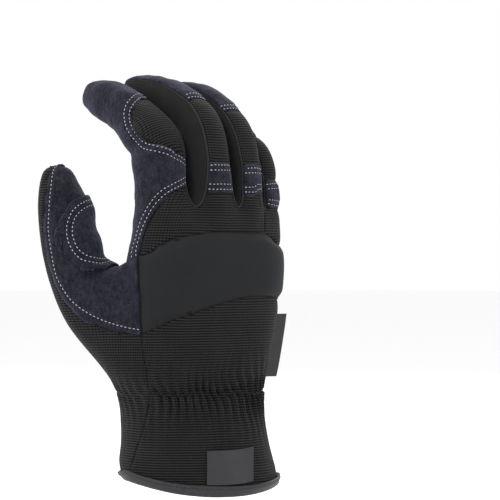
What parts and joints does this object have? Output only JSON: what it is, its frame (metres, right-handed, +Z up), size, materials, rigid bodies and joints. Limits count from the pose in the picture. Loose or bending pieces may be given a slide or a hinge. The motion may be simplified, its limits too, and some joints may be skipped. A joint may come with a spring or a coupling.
{
  "type": "mechanic glove",
  "caption": "Right-hand work glove, filled out as worn, with suede palm, ribbed knit back, padded band, gathered wrist and bound cuff; open at the wrist.",
  "frame": {"origin": "centre of the cuff's opening, in the plane where the wrist enters", "axes": "+Z up the hand towards the fingertips; the back of the hand faces -Y; the thumb points to -X"},
  "size_m": [0.1345, 0.0974, 0.2275],
  "materials": {
    "navy_suede": "brushed suede with a short nap, matte",
    "black_knit": "fine ribbed stretch knit, matte",
    "slate_neoprene": "smooth foam-backed cloth with a slight sheen",
    "smooth_fabric": "smooth fine stretch cloth, matte",
    "hem_tape": "folded tape with a slight sheen",
    "woven_label": "plain woven label, satin",
    "thread": "twisted polyester sewing thread"
  },
  "bodies": {
    "root": {"palm_suede": "navy_suede", "thumb_suede": "navy_suede", "thumb_patch": "navy_suede", "thumb_side_knit": "black_knit", "wrist_back_knit": "black_knit", "neoprene_band": "slate_neoprene", "knuckle_knit": "black_knit", "little_knuckle_knit": "black_knit", "index_back_knit": "black_knit", "middle_back_knit": "black_knit", "ring_back_knit": "black_knit", "little_back_knit": "black_knit", "middle_strip": "navy_suede", "ring_strip": "navy_suede", "little_strip": "navy_suede", "middle_tip_cap": "navy_suede", "ring_tip_cap": "navy_suede", "little_tip_cap": "navy_suede", "fourchette_index_middle": "smooth_fabric", "fourchette_middle_ring": "smooth_fabric", "fourchette_ring_little": "smooth_fabric", "cuff_binding": "hem_tape", "cuff_label": "woven_label", "side_tag": "woven_label"}
  },
  "joints": []
}
